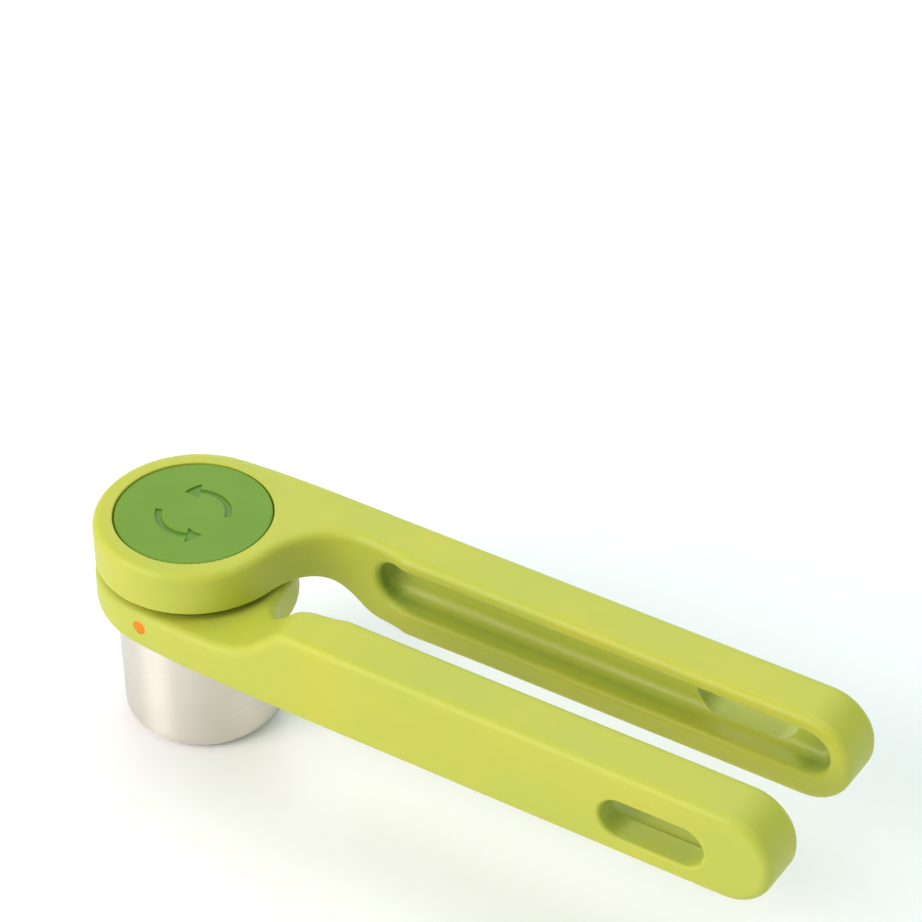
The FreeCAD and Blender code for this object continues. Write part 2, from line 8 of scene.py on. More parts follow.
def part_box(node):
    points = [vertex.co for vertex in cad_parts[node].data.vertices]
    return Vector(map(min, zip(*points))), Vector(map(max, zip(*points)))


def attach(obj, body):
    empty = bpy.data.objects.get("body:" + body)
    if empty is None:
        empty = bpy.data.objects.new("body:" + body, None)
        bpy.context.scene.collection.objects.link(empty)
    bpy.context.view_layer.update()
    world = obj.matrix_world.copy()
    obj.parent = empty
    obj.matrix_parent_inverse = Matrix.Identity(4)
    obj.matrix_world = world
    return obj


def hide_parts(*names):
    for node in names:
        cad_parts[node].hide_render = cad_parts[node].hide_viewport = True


bl_info = {
    "name": "Twist garlic press",
    "version": (1, 0, 0),
    "blender": (4, 5, 0),
    "location": "View3D > Sidebar > Garlic press",
    "description": "Finishes the packed garlic press, models its fine pieces and sets up its studio",
    "category": "Add Mesh",
}

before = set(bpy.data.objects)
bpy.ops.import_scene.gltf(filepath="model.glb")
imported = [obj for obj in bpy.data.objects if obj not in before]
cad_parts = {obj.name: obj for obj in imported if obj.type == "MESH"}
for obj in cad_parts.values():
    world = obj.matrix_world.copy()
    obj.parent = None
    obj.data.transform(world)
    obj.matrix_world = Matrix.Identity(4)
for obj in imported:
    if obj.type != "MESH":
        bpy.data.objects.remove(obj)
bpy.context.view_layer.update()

MM = 0.001
NEAR = 0.01 * MM  # tolerance when faces and edges are picked by place
SAME = 0.0005 * MM  # corners closer than this are one
Z_AXIS = Vector((0, 0, 1))


def tint(red, green, blue):
    """A linear colour from display values of 0 to 255."""
    def linear(value):
        share = value / 255
        return share / 12.92 if share <= 0.04045 else ((share + 0.055) / 1.055) ** 2.4
    return (linear(red), linear(green), linear(blue))


def opaque(colour):
    """A colour with full alpha, as sockets want it."""
    return (*colour[:3], 1.0)


def shifted(colour, red, green, blue):
    """A colour with each channel multiplied."""
    return (colour[0] * red, colour[1] * green, colour[2] * blue)


# ---------------------------------------------------------------- settings


def colour_setting(name, description, default):
    """A colour that a user can change."""
    return bpy.props.FloatVectorProperty(
        name=name, description=description, subtype="COLOR", size=3, min=0, max=1, default=default
    )


def length_setting(name, description, millimetres):
    """A length that a user can change."""
    return bpy.props.FloatProperty(
        name=name, description=description, unit="LENGTH", min=0, default=millimetres * MM
    )


def share_setting(name, description, default):
    """A value between nothing and all that a user can change."""
    return bpy.props.FloatProperty(
        name=name, description=description, subtype="FACTOR", min=0, max=1, default=default
    )


def power_setting(name, description, default):
    """A lamp's power that a user can change."""
    return bpy.props.FloatProperty(
        name=name, description=description, unit="POWER", min=0, default=default
    )


class PressFinishSettings(bpy.types.PropertyGroup):
    """Colours and sheens of the press's materials."""

    lime: colour_setting("Lime nylon", "Colour of the two moulded arms", tint(181, 184, 64))
    lime_sheen: share_setting("Lime roughness", "Roughness of the arms' satin skin", 0.50)
    glow: share_setting("Nylon glow", "How much light the lime nylon carries inside", 0.14)
    cap: colour_setting("Cap green", "Colour of the cap's nylon", tint(102, 141, 33))
    thread: colour_setting("Thread green", "Colour of the barrel and its collar", tint(104, 152, 58))
    dot: colour_setting("Marker orange", "Colour of the alignment dots", tint(238, 128, 2))
    acetal: colour_setting("Acetal", "Colour of the plunger's piston", tint(226, 224, 214))
    steel: colour_setting("Basket steel", "Colour of the drawn steel", tint(225, 218, 209))
    hardware: colour_setting("Fastener steel", "Colour of screws and washer", tint(206, 206, 204))


class PressDetailSettings(bpy.types.PropertyGroup):
    """Sizes of the pieces that are modelled here."""

    cap_thickness: length_setting("Cap thickness", "Thickness of the cap's plate", 2.05)
    cap_rim: length_setting("Cap rim", "Rounding of the cap's edge", 0.45)
    skirt_gap: length_setting("Skirt step", "From the cap's edge in to its skirt", 1.45)
    skirt_wall: length_setting("Skirt wall", "Thickness of the cap's skirt", 1.35)
    mark_radius: length_setting("Mark radius", "Mean radius of the turning arrows", 8.0)
    mark_width: length_setting("Mark width", "Width of the arrows' bands", 1.5)
    mark_depth: length_setting("Mark depth", "How deep the arrows are sunk", 0.45)
    mark_edge: length_setting("Mark edge", "Rounding of the arrows' edges", 0.12)
    dot_radius: length_setting("Dot radius", "Radius of an alignment dot", 1.65)
    dot_edge: length_setting("Dot edge", "Rounding of an alignment dot's rim", 0.12)
    line_width: length_setting("Witness line width", "Width of the mould's fine line", 0.24)
    line_height: length_setting("Witness line height", "Height of the mould's fine line", 0.05)


class PressStudioSettings(bpy.types.PropertyGroup):
    """Light in the studio."""

    key: power_setting("Key", "Large soft light on the front left", 14.9)
    top: power_setting("Top", "Broad soft light overhead", 9.7)
    rim: power_setting("Rim", "Narrow light from the back left", 1.2)
    back: power_setting("Back", "Soft light high behind that lays a sheen on the tops", 1.8)
    strip: power_setting("Strips", "Tall lamps that draw bands on the steel", 0.6)
    card: power_setting("Card", "Low light on the right that fills the steel", 0.2)
    ambient: bpy.props.FloatProperty(
        name="Ambient", description="Strength of the even light all round", min=0, default=0.36
    )
    floor: colour_setting("Floor", "Colour of the pale floor", (0.93, 0.93, 0.965))


# ---------------------------------------------------------------- shader maths


class Term:
    """One value in a shader. Python's arithmetic on it adds Math nodes."""

    def __init__(self, paint, socket):
        self.paint = paint
        self.socket = socket

    def math(self, operation, *values):
        """A Math node on these values."""
        node = self.paint.node("ShaderNodeMath", {"operation": operation}, dict(enumerate(values)))
        return Term(self.paint, node.outputs[0])

    def __add__(self, other):
        return self.math("ADD", self, other)

    __radd__ = __add__

    def __sub__(self, other):
        return self.math("SUBTRACT", self, other)

    def __rsub__(self, other):
        return self.math("SUBTRACT", other, self)

    def __mul__(self, other):
        return self.math("MULTIPLY", self, other)

    __rmul__ = __mul__

    def __truediv__(self, other):
        return self.math("DIVIDE", self, other)

    def __pow__(self, other):
        return self.math("POWER", self, other)

    def within(self, low, high):
        """0 below low and 1 above high, with soft ends; high may be the smaller."""
        node = self.paint.node(
            "ShaderNodeMapRange",
            {"interpolation_type": "SMOOTHSTEP"},
            {"Value": self, "From Min": low, "From Max": high},
        )
        return Term(self.paint, node.outputs["Result"])


class Paint:
    """A material in the making. Every node in it comes from one method."""

    def __init__(self, name):
        self.material = bpy.data.materials.new(name)
        self.material.use_nodes = True
        self.material.node_tree.nodes.clear()
        coordinates = self.node("ShaderNodeTexCoord")
        self.place = self.scaled(coordinates.outputs["Object"], 1 / MM)

    def node(self, kind, settings=None, inputs=None):
        """Adds a node, sets it, then gives its sockets their values or links."""
        tree = self.material.node_tree
        node = tree.nodes.new(kind)
        for name, value in (settings or {}).items():
            setattr(node, name, value)
        for key, value in (inputs or {}).items():
            if isinstance(value, Term):
                tree.links.new(value.socket, node.inputs[key])
            elif isinstance(value, bpy.types.NodeSocket):
                tree.links.new(value, node.inputs[key])
            else:
                node.inputs[key].default_value = value
        return node

    def scaled(self, vector, factor):
        """A vector times a number."""
        node = self.node("ShaderNodeVectorMath", {"operation": "SCALE"}, {0: vector, "Scale": factor})
        return node.outputs[0]

    def stretched(self, vector, along_x, along_y, along_z):
        """Coordinates scaled by a different amount along each axis."""
        scale = (along_x, along_y, along_z)
        return self.node("ShaderNodeMapping", None, {"Vector": vector, "Scale": scale}).outputs[0]

    def axes(self, vector):
        """A vector's three parts."""
        node = self.node("ShaderNodeSeparateXYZ", None, {0: vector})
        return [Term(self, output) for output in node.outputs]

    def joined(self, x, y, z):
        """A vector from three parts."""
        return self.node("ShaderNodeCombineXYZ", None, {0: x, 1: y, 2: z}).outputs[0]

    def noise(self, vector, scale, detail=2.0, roughness=0.5, distortion=0.0):
        """Smooth noise, mostly between 0.3 and 0.7, with features of about 1 / scale."""
        node = self.node("ShaderNodeTexNoise", None, {
            "Vector": vector, "Scale": scale, "Detail": detail,
            "Roughness": roughness, "Distortion": distortion,
        })
        return Term(self, node.outputs[0])

    def hollowness(self, reach):
        """How closed in a place is by its own piece, from 0 in the open to 1 deep in a hollow."""
        settings = {"samples": 8, "only_local": True}
        node = self.node("ShaderNodeAmbientOcclusion", settings, {"Distance": reach})
        return 1 - Term(self, node.outputs["AO"])

    def blend(self, factor, first, second):
        """A colour between two colours."""
        node = self.node("ShaderNodeMix", {"data_type": "RGBA"}, {0: factor, 6: first, 7: second})
        return node.outputs[2]

    def bump(self, height, distance, strength=1.0, under=None):
        """A normal from a height that runs over a distance in metres."""
        inputs = {"Height": height, "Distance": distance, "Strength": strength}
        if under is not None:
            inputs["Normal"] = under
        return self.node("ShaderNodeBump", None, inputs).outputs[0]

    def finish(self, inputs):
        """Closes the material with one Principled shader."""
        shader = self.node("ShaderNodeBsdfPrincipled", None, inputs)
        self.node("ShaderNodeOutputMaterial", None, {"Surface": shader.outputs[0]})
        return self.material


def moulded_nylon(name, colour, roughness, glow, grain):
    """Satin moulded nylon: flow marks, grain, scuffs and hand polish, with painted shade that turns
    its hollows greener and darker, and pale blotches in shallow hollows that are partly marks and
    partly a painted highlight.
    """
    paint = Paint(name)
    place = paint.place
    along, _across, _height = paint.axes(place)
    cloud = paint.noise(place, 0.035, 3.0)
    flow = paint.noise(paint.stretched(place, 0.03, 0.22, 0.22), 1.0, 4.0, 0.55, 0.6)
    pigment = paint.noise(place, 1.6, 2.0)
    streaks = paint.noise(paint.stretched(place, 0.05, 1.7, 1.7), 1.0, 2.0, 0.4, 0.2)
    scuffs = streaks.within(0.60, 0.70)
    held = along.within(70, 120)
    warm = opaque(shifted(colour, 1.05, 1.01, 0.86))
    cool = opaque(shifted(colour, 0.94, 0.985, 1.02))
    pale = opaque(shifted(colour, 1.06, 1.05, 1.35))
    painted_shade_green = opaque(shifted(colour, 0.97, 1.12, 1.5))
    deep = opaque(shifted(colour, 0.46, 0.64, 1.5))
    shade = paint.blend(cloud.within(0.32, 0.68), cool, warm)
    shade = paint.blend(flow.within(0.52, 0.72) * 0.30, shade, pale)
    shade = paint.blend(pigment.within(0.55, 0.75) * 0.12, shade, cool)
    shade = paint.blend(scuffs * 0.10, shade, pale)
    skin = paint.noise(place, grain, 3.0, 0.6)
    # Painted shade: places closed in by the piece itself are coloured greener, and darker deeper in.
    hollow = paint.hollowness(12 * MM)
    blotches = paint.noise(paint.stretched(place, 0.5, 1.2, 1.2), 1.0, 4.0, 0.65)
    # Pale blotches in shallow hollows: partly marks, partly a painted highlight along the channel.
    drawn = hollow.within(0.08, 0.25) * blotches.within(0.50, 0.64)
    shade = paint.blend(hollow.within(0.10, 0.34) * 0.8, shade, painted_shade_green)
    shade = paint.blend(hollow.within(0.36, 0.60) * 0.95, shade, deep)
    shade = paint.blend(drawn * 0.40, shade, pale)
    rough = roughness + (flow - 0.5) * 0.16 + (skin - 0.5) * 0.10
    rough = rough + scuffs * 0.06 - held * 0.035 - drawn * 0.06
    wave = paint.bump(flow, 0.05 * MM, 0.25)
    fine = paint.bump(skin - scuffs * 0.4, 0.012 * MM, 0.55, wave)
    return paint.finish({
        "Base Color": shade,
        "Roughness": rough,
        "Normal": fine,
        "IOR": 1.52,
        "Subsurface Weight": glow,
        "Subsurface Radius": (0.7, 1.3, 0.2),
        "Subsurface Scale": 3.0 * MM,
        "Specular IOR Level": 0.45,
    })


def matt_nylon(name, colour, roughness, mark_level=None):
    """Spark-textured matt nylon; marks sunk below a level are smoother, and painted shade colours
    them darker.
    """
    paint = Paint(name)
    place = paint.place
    cloud = paint.noise(place, 0.06, 3.0)
    speck = paint.noise(place, 2.6, 2.0)
    spark = paint.noise(place, 4.2, 4.0, 0.65)
    dark = opaque(shifted(colour, 0.93, 0.97, 0.95))
    light = opaque(shifted(colour, 1.05, 1.02, 1.05))
    shade = paint.blend(cloud.within(0.34, 0.66), dark, light)
    shade = paint.blend(speck.within(0.56, 0.74) * 0.14, shade, dark)
    rough = roughness + (cloud - 0.5) * 0.12 + (spark - 0.5) * 0.14
    if mark_level is not None:
        x, y, z = paint.axes(place)
        near_axis = ((x * x + y * y) ** 0.5).within(14.0, 13.0)
        # Painted shade: the sunk arrows are coloured darker.
        sunk = z.within(mark_level - 0.05, mark_level - 0.40) * near_axis
        shade = paint.blend(sunk * 0.75, shade, opaque(shifted(colour, 0.60, 0.78, 0.85)))
        rough = rough - sunk * 0.14
    return paint.finish({
        "Base Color": shade,
        "Roughness": rough,
        "Normal": paint.bump(spark, 0.035 * MM, 0.6),
        "IOR": 1.52,
        "Specular IOR Level": 0.4,
    })


def turned_steel(name, colour, roughness, turning):
    """Drawn and spun steel: fine rings round the press axis, faint smears and hairlines."""
    paint = Paint(name)
    place = paint.place
    x, y, z = paint.axes(place)
    radius = (x * x + y * y) ** 0.5
    rings = paint.noise(paint.joined(x * 0.02, radius * 6.0 + y * 0.02, z * 6.0), 1.0, 3.0, 0.6)
    coarse = paint.noise(paint.joined(x * 0.03, radius * 0.5 + y * 0.03, z * 0.5), 1.0, 2.0)
    smear = paint.noise(place, 0.09, 3.0, 0.5, 0.5)
    dark = opaque(shifted(colour, 0.93, 0.93, 0.935))
    warm = opaque(shifted(colour, 0.96, 0.94, 0.91))
    shade = paint.blend(rings.within(0.30, 0.62), dark, opaque(colour))
    shade = paint.blend(smear.within(0.45, 0.75) * 0.20, shade, warm)
    rough = roughness + (rings - 0.5) * 0.10 + (coarse - 0.5) * 0.05 + (smear - 0.5) * 0.10
    return paint.finish({
        "Base Color": shade,
        "Metallic": 1.0,
        "Roughness": rough,
        "Normal": paint.bump(rings, 0.004 * MM, turning),
        "Anisotropic": 0.88,
        "Anisotropic Rotation": 0.25,
    })


def plain_plastic(name, colour, roughness, speckle, gloss=0.5):
    """Smooth moulded plastic with a little tone and micro texture."""
    paint = Paint(name)
    place = paint.place
    cloud = paint.noise(place, 0.25, 3.0)
    speck = paint.noise(place, 3.0, 3.0)
    dark = opaque(shifted(colour, 0.92, 0.92, 0.93))
    light = opaque(shifted(colour, 1.02, 1.02, 1.02))
    shade = paint.blend(cloud.within(0.35, 0.65), dark, light)
    shade = paint.blend(speck.within(0.55, 0.75) * speckle, shade, dark)
    return paint.finish({
        "Base Color": shade,
        "Roughness": roughness + (speck - 0.5) * 0.10 + (cloud - 0.5) * 0.08,
        "Normal": paint.bump(speck, 0.01 * MM, 0.5),
        "IOR": 1.5,
        "Specular IOR Level": gloss,
    })


def studio_floor(name, colour):
    """Plain pale studio floor, lit from within far out where the lamps don't reach."""
    paint = Paint(name)
    x, y, _height = paint.axes(paint.place)
    far = ((x * x + y * y) ** 0.5).within(1100, 1900)
    tone = paint.noise(paint.place, 0.004, 2.0)
    dark = opaque(shifted(colour, 0.99, 0.99, 0.99))
    shade = paint.blend(tone.within(0.35, 0.65), dark, opaque(colour))
    return paint.finish({
        "Base Color": shade,
        "Roughness": 0.85,
        "Specular IOR Level": 0.1,
        "Emission Color": paint.blend(far, (0, 0, 0, 1), (0.30, 0.30, 0.30, 1)),
        "Emission Strength": 1.0,
    })


def press_material(slot):
    """The material of one of the press's slots, made once."""
    made = bpy.data.materials.get("press_" + slot)
    if made is not None:
        return made
    finish = bpy.context.scene.press_finish
    name = "press_" + slot
    makers = {
        "arm_nylon": lambda: moulded_nylon(name, finish.lime, finish.lime_sheen, finish.glow, 3.4),
        "cap_nylon": lambda: matt_nylon(name, finish.cap, 0.56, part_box("cap_disc")[1].z / MM),
        "thread_nylon": lambda: matt_nylon(name, finish.thread, 0.42),
        "dot_plastic": lambda: plain_plastic(name, finish.dot, 0.48, 0.10, 0.25),
        "plunger_acetal": lambda: plain_plastic(name, finish.acetal, 0.40, 0.06),
        "basket_steel": lambda: turned_steel(name, finish.steel, 0.365, 0.5),
        "hardware_steel": lambda: turned_steel(name, finish.hardware, 0.26, 0.35),
    }
    return makers[slot]()


# ---------------------------------------------------------------- modelling by hand


def nothing_selected():
    """Object mode with nothing selected."""
    if bpy.context.object is not None and bpy.context.object.mode != "OBJECT":
        bpy.ops.object.mode_set(mode="OBJECT")
    bpy.ops.object.select_all(action="DESELECT")


def only(piece):
    """Makes a piece the only selected one, and the active one."""
    nothing_selected()
    piece.select_set(True)
    bpy.context.view_layer.objects.active = piece


def added(name):
    """Names the primitive that was just added."""
    piece = bpy.context.object
    piece.name = name
    piece.data.name = name
    return piece


def pick(kind, test):
    """Selects the edited mesh's elements that pass a test on their corners, and returns how many."""
    bpy.ops.mesh.select_mode(type=kind)
    bpy.ops.mesh.select_all(action="DESELECT")
    mesh = bmesh.from_edit_mesh(bpy.context.edit_object.data)
    elements = {"VERT": mesh.verts, "EDGE": mesh.edges, "FACE": mesh.faces}[kind]
    count = 0
    for element in elements:
        corners = [element.co] if kind == "VERT" else [corner.co for corner in element.verts]
        if test(corners):
            element.select_set(True)
            count += 1
    mesh.select_flush_mode()
    bmesh.update_edit_mesh(bpy.context.edit_object.data)
    if count == 0:
        raise RuntimeError("nothing was picked on " + bpy.context.edit_object.name)
    return count


def apply_modifier(piece, kind, **settings):
    """Adds a modifier to a piece, sets it and applies it."""
    only(piece)
    modifier = piece.modifiers.new(kind.title(), kind)
    for name, value in settings.items():
        setattr(modifier, name, value)
    bpy.ops.object.modifier_apply(modifier=modifier.name)


def settled(piece):
    """Puts a piece's place into its mesh and gives it smooth, clean shading."""
    only(piece)
    bpy.ops.object.transform_apply(location=True, rotation=True, scale=True)
    bpy.ops.object.mode_set(mode="EDIT")
    bpy.ops.mesh.select_all(action="SELECT")
    bpy.ops.mesh.remove_doubles(threshold=SAME)
    bpy.ops.mesh.normals_make_consistent(inside=False)
    bpy.ops.object.mode_set(mode="OBJECT")
    bpy.ops.object.shade_smooth_by_angle(angle=math.radians(32), keep_sharp_edges=True)
    apply_modifier(piece, "WEIGHTED_NORMAL", keep_sharp=True, weight=60)
    return piece


def cover(piece, slot, body, *nodes):
    """Gives a finished piece its material, body and slot, and hides what it stands for."""
    piece.data.materials.clear()
    piece.data.materials.append(press_material(slot))
    if nodes:
        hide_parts(*nodes)
    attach(piece, body)


def dress(node, slot):
    """Gives a carried-over node its material."""
    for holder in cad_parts[node].material_slots:
        holder.material = press_material(slot)


def round_radius(node):
    """Half a node's width along X."""
    low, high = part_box(node)
    return (high.x - low.x) / 2


# ---------------------------------------------------------------- pieces


class PRESS_OT_arms(bpy.types.Operator):
    """Finish the two moulded arms in satin lime nylon"""

    bl_idname = "press.arms"
    bl_label = "Arms"

    def execute(self, context):
        for node in ("lower_arm", "upper_arm"):
            dress(node, "arm_nylon")
        return {"FINISHED"}


class PRESS_OT_basket(bpy.types.Operator):
    """Finish the drawn steel basket and the plunger's steel shoe"""

    bl_idname = "press.basket"
    bl_label = "Basket and press plate"

    def execute(self, context):
        for node in ("basket", "press_plate"):
            dress(node, "basket_steel")
        return {"FINISHED"}


class PRESS_OT_works(bpy.types.Operator):
    """Finish the barrel, collar, piston and fasteners inside the heads"""

    bl_idname = "press.works"
    bl_label = "Inner works"

    def execute(self, context):
        for node in ("screw_barrel", "thread_collar"):
            dress(node, "thread_nylon")
        dress("plunger_head", "plunger_acetal")
        for node in ("thrust_washer", "barrel_screws", "pivot_screw"):
            dress(node, "hardware_steel")
        return {"FINISHED"}


class PRESS_OT_cap(bpy.types.Operator):
    """Model the cap: a plate with a rounded rim, a skirt and two sunk turning arrows"""

    bl_idname = "press.cap"
    bl_label = "Cap"

    segments = 160
    band_span = (9, 51)
    head_span = (51, 62)

    def execute(self, context):
        detail = context.scene.press_detail
        low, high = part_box("cap_disc")
        radius = round_radius("cap_disc")
        nothing_selected()
        bpy.ops.mesh.primitive_cylinder_add(
            vertices=self.segments, radius=radius, depth=detail.cap_thickness,
            location=(0, 0, high.z - detail.cap_thickness / 2),
        )
        cap = added("cap")
        bpy.ops.object.transform_apply(location=True)
        bpy.ops.object.mode_set(mode="EDIT")
        self.skirt(detail, low.z, high.z - detail.cap_thickness)
        self.rim(detail, radius, high.z)
        self.rings(detail, radius - detail.cap_rim, high.z)
        for turn in (0, self.segments // 2):
            self.taper_heads(detail, high.z, turn)
        bpy.ops.mesh.select_all(action="SELECT")
        bpy.ops.mesh.remove_doubles(threshold=SAME)
        self.sink(detail, high.z)
        bpy.ops.object.mode_set(mode="OBJECT")
        settled(cap)
        cover(cap, "cap_nylon", "upper", "cap_disc")
        return {"FINISHED"}

    def skirt(self, detail, bottom, underside):
        """The ring under the plate."""
        pick("FACE", lambda corners: max(c.z for c in corners) < underside + NEAR)
        bpy.ops.mesh.inset(thickness=detail.skirt_gap)
        bpy.ops.mesh.extrude_region_move(TRANSFORM_OT_translate={"value": (0, 0, bottom - underside)})
        bpy.ops.mesh.inset(thickness=detail.skirt_wall)
        bpy.ops.mesh.extrude_region_move(TRANSFORM_OT_translate={"value": (0, 0, underside - bottom)})

    def rim(self, detail, radius, top):
        """The rounded edge of the plate."""
        top, radius = top - NEAR, radius - NEAR
        pick("EDGE", lambda corners: all(c.z > top and c.xy.length > radius for c in corners))
        bpy.ops.mesh.bevel(offset=detail.cap_rim, segments=5, profile=0.5, affect="EDGES")

    def ring_radii(self, detail):
        """Radii of the rings that the arrows are laid out on, from the outside in."""
        middle = detail.mark_radius
        return [middle + step * detail.mark_width for step in (3, 1.7, 0.5, -0.5, -1.7, -3)]

    def rings(self, detail, radius, top):
        """Divides the plate's flat top into rings."""
        for inner in self.ring_radii(detail):
            pick("FACE", lambda corners: len(corners) > 8 and min(c.z for c in corners) > top - NEAR)
            bpy.ops.mesh.inset(thickness=radius - inner)
            radius = inner

    def segment_of(self, point):
        """How many segments a point stands round from the X axis."""
        return math.atan2(point.y, point.x) / math.tau * self.segments % self.segments

    def taper_heads(self, detail, top, turn):
        """Draws the rings together to a point along one arrow's head."""
        first, last = self.head_span
        middle = detail.mark_radius
        reach = 1.75 * detail.mark_width
        for step in range(first + 1, last + 1):
            angle = math.tau * (step + turn) / self.segments
            centre = Vector((middle * math.cos(angle), middle * math.sin(angle), top))
            outward = Vector((math.cos(angle), math.sin(angle), 0))

            def on_spoke(corners):
                offset = corners[0] - centre
                along = offset.dot(outward)
                return abs(along) < reach and (offset - outward * along).length < 0.05 * MM

            pick("VERT", on_spoke)
            share = (last - step) / (last - first)
            bpy.ops.transform.resize(value=(share, share, 1), center_override=centre)

    def sunk(self, detail, top, corners):
        """Whether a face of the top belongs to an arrow."""
        if len(corners) > 4 or min(c.z for c in corners) < top - NEAR:
            return False
        centre = sum(corners, Vector()) / len(corners)
        offset = abs(centre.xy.length - detail.mark_radius)
        if offset > 1.7 * detail.mark_width:
            return False
        at = self.segment_of(centre) % (self.segments / 2)
        if self.band_span[0] < at < self.band_span[1]:
            return offset < 0.5 * detail.mark_width
        first, last = self.head_span
        return first < at < last and offset < 1.7 * detail.mark_width * (last - at) / (last - first)

    def sink(self, detail, top):
        """Sinks the arrows and rounds their upper edges."""
        pick("FACE", lambda corners: self.sunk(detail, top, corners))
        bpy.ops.mesh.extrude_region_move(TRANSFORM_OT_translate={"value": (0, 0, -detail.mark_depth)})
        bpy.ops.mesh.select_mode(type="EDGE")
        bpy.ops.mesh.select_all(action="DESELECT")
        mesh = bmesh.from_edit_mesh(bpy.context.edit_object.data)
        for edge in mesh.edges:
            level = all(corner.co.z > top - NEAR for corner in edge.verts)
            inside = edge.verts[0].co.xy.length < 2 * detail.mark_radius
            if level and inside and edge.calc_face_angle(0) > 1:
                edge.select_set(True)
        bmesh.update_edit_mesh(bpy.context.edit_object.data)
        bpy.ops.mesh.bevel(offset=detail.mark_edge, segments=3, profile=0.5, affect="EDGES")


class PRESS_OT_dots(bpy.types.Operator):
    """Model the two orange alignment dots, trimmed to the heads and softly rimmed"""

    bl_idname = "press.dots"
    bl_label = "Alignment dots"

    depth = 1.4 * MM
    proud = 0.04 * MM
    face_rings = 3

    def execute(self, context):
        dot = self.model(context.scene.press_detail)
        for side in ("lower", "upper"):
            self.fit(dot, side)
        bpy.data.objects.remove(dot)
        return {"FINISHED"}

    def face_radius(self, side):
        """How far a dot's face stands from the press axis, just proud of its head."""
        return self.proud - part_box(side + "_arm")[0].x

    def model(self, detail):
        """One dot on the X axis, with a rounded rim and a face that follows the head."""
        face = self.face_radius("lower")
        nothing_selected()
        bpy.ops.mesh.primitive_cylinder_add(
            vertices=56, radius=detail.dot_radius, depth=self.depth,
            location=(face - self.depth / 2, 0, 0), rotation=(0, math.pi / 2, 0),
        )
        dot = added("dot")
        bpy.ops.object.transform_apply(location=True, rotation=True)
        bpy.ops.object.mode_set(mode="EDIT")

        def outer(corners):
            return min(c.x for c in corners) > face - NEAR

        pick("EDGE", outer)
        bpy.ops.mesh.bevel(offset=detail.dot_edge, segments=3, profile=0.5, affect="EDGES")
        for _ring in range(self.face_rings):
            pick("FACE", lambda corners: len(corners) > 8 and outer(corners))
            bpy.ops.mesh.inset(thickness=detail.dot_radius / (self.face_rings + 1))
        pick("VERT", outer)
        bpy.ops.object.vertex_group_assign_new()
        nothing_selected()
        bpy.ops.mesh.primitive_cylinder_add(vertices=720, radius=face, depth=8 * MM)
        head = added("head_round")
        apply_modifier(
            dot, "SHRINKWRAP", target=head, wrap_method="PROJECT",
            vertex_group=dot.vertex_groups[0].name, use_project_x=True,
            use_negative_direction=True, use_positive_direction=False,
        )
        bpy.data.objects.remove(head)
        dot.vertex_groups.clear()
        return dot

    def fit(self, dot, side):
        """A copy of the dot, turned round to its place on one head."""
        node = side + "_alignment_dot"
        low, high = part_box(node)
        middle = (low + high) / 2
        angle = math.atan2(middle.y, middle.x)
        step = self.face_radius(side) - self.face_radius("lower")
        only(dot)
        bpy.ops.object.duplicate()
        piece = added(side + "_dot")
        piece.rotation_euler.z = angle
        piece.location = (step * math.cos(angle), step * math.sin(angle), middle.z)
        settled(piece)
        cover(piece, "dot_plastic", side, node)


class PRESS_OT_witness_line(bpy.types.Operator):
    """Model the fine line that the mould leaves on the lower head"""

    bl_idname = "press.witness_line"
    bl_label = "Mould witness line"

    collar_recess = 0.35 * MM
    start = 12.4 * MM
    length = 8.2 * MM
    across = -17.6 * MM

    def execute(self, context):
        detail = context.scene.press_detail
        head_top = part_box("thread_collar")[1].z + self.collar_recess
        middle = (self.start + self.length / 2, self.across, head_top)
        nothing_selected()
        bpy.ops.mesh.primitive_cube_add(size=1, location=middle)
        line = added("mould_witness_line")
        line.scale = (self.length, detail.line_width, 2 * detail.line_height)
        bpy.ops.object.transform_apply(location=True, scale=True)
        bpy.ops.object.mode_set(mode="EDIT")
        upper = head_top + 0.5 * detail.line_height
        pick("FACE", lambda corners: min(c.z for c in corners) > upper)
        bpy.ops.transform.resize(value=(0.94, 0.45, 1), center_override=middle)
        pick("EDGE", lambda corners: min(c.z for c in corners) > upper)
        bpy.ops.mesh.bevel(offset=0.3 * detail.line_height, segments=2, profile=0.5, affect="EDGES")
        bpy.ops.object.mode_set(mode="OBJECT")
        settled(line)
        cover(line, "arm_nylon", "lower")
        return {"FINISHED"}


# ---------------------------------------------------------------- studio


def soft_lamp(name, place, target, size, power, colour):
    """A square soft lamp aimed at a point."""
    data = bpy.data.lights.new(name, "AREA")
    data.shape = "RECTANGLE"
    data.size, data.size_y = size
    data.energy = power
    data.color = colour
    lamp = bpy.data.objects.new(name, data)
    bpy.context.scene.collection.objects.link(lamp)
    lamp.location = place
    lamp.rotation_euler = (Vector(target) - Vector(place)).to_track_quat("-Z", "Y").to_euler()
    return lamp


